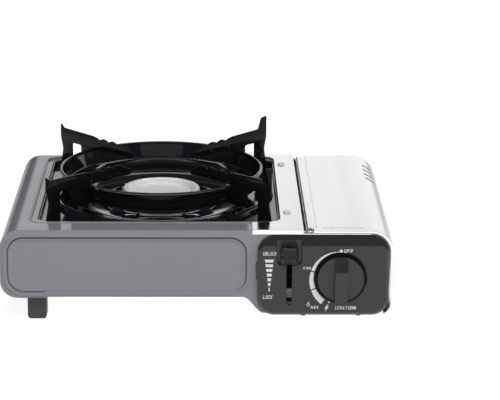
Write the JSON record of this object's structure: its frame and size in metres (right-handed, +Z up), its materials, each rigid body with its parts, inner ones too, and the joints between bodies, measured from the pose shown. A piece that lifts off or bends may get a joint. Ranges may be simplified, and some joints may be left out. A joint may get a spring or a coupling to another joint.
{
  "type": "portable cartridge gas stove",
  "caption": "Flat tabletop gas stove with a pressed grey body, round burner under an enamelled pan support, drip tray, lock lever, control knob and hinged lid over the cartridge bay.",
  "frame": {"origin": "middle of the whole object's footprint, on the table under its feet", "axes": "+X to the right seen from the controls, +Y from the controls to the back, +Z up"},
  "size_m": [0.34, 0.2752, 0.1267],
  "materials": {
    "body_grey": "smooth satin grey paint on pressed steel",
    "bright_steel": "bright rolled stainless steel",
    "zinc_steel": "dull zinc-plated steel",
    "black_enamel": "glossy black vitreous enamel",
    "black_plastic": "fine-grained black moulded plastic",
    "dark_plastic": "dark grey moulded plastic",
    "brass": "plain turned brass",
    "cast_aluminium": "dull die-cast aluminium",
    "bright_aluminium": "bright spun aluminium",
    "black_rubber": "black sealing rubber",
    "red_plastic": "red moulded plastic",
    "ceramic": "glazed white ceramic",
    "wire_sleeve": "pale silicone sleeve"
  },
  "bodies": {
    "stove": {"body_shell": "body_grey", "base_plate": "zinc_steel", "top_plate": "bright_steel", "plate_screws": "bright_steel", "bay_wall": "zinc_steel", "hinge_pin": "zinc_steel", "control_panel": "black_plastic", "regulator_body": "cast_aluminium", "nozzle_gasket": "black_rubber", "piezo_igniter": "red_plastic", "gas_pipe": "brass", "jet_holder": "brass", "mixing_tube": "zinc_steel", "burner_body": "cast_aluminium", "burner_cap": "bright_aluminium", "spark_insulator": "ceramic", "spark_electrode": "zinc_steel", "ignition_wire": "wire_sleeve", "lever_pivot": "zinc_steel", "lever_stop": "zinc_steel", "left_feet": "dark_plastic", "right_feet": "dark_plastic"},
    "lid": {"cartridge_lid": "bright_steel"},
    "knob": {"control_knob": "black_plastic", "valve_stem": "brass"},
    "lever": {"lock_lever": "zinc_steel", "lever_cap": "black_plastic"},
    "pusher": {"cartridge_pusher": "zinc_steel"},
    "tray": {"drip_tray": "black_enamel"},
    "pan_support": {"pan_ring": "black_enamel", "pan_arm_front_left": "black_enamel", "pan_arm_front_right": "black_enamel", "pan_arm_rear_left": "black_enamel", "pan_arm_rear_right": "black_enamel"}
  },
  "joints": [
    {"name": "lid_hinge", "type": "hinge", "parent": "stove", "child": "lid", "pos_m": [0.0968, 0.01035, 0.0789], "axis": [0, -1, 0], "range_deg": [0, 100]},
    {"name": "knob_turn", "type": "hinge", "parent": "stove", "child": "knob", "pos_m": [0.123, -0.12, 0.0426], "axis": [0, -1, 0], "range_deg": [0, 155]},
    {"name": "lever_swing", "type": "hinge", "parent": "stove", "child": "lever", "pos_m": [0.0788, -0.06565, 0.044], "axis": [1, 0, 0], "range_deg": [0, 34]},
    {"name": "pusher_slide", "type": "slide", "parent": "stove", "child": "pusher", "axis": [0, -1, 0], "range_m": [0, 0.00802]},
    {"name": "tray_lift", "type": "slide", "parent": "stove", "child": "tray", "axis": [0, 0, 1], "range_m": [0, 0.06]},
    {"name": "pan_support_lift", "type": "slide", "parent": "tray", "child": "pan_support", "axis": [0, 0, 1], "range_m": [0, 0.05]}
  ],
  "couplings": [
    {"joint": "pusher_slide", "follows": "lever_swing", "m_per_rad": 0.0135}
  ]
}
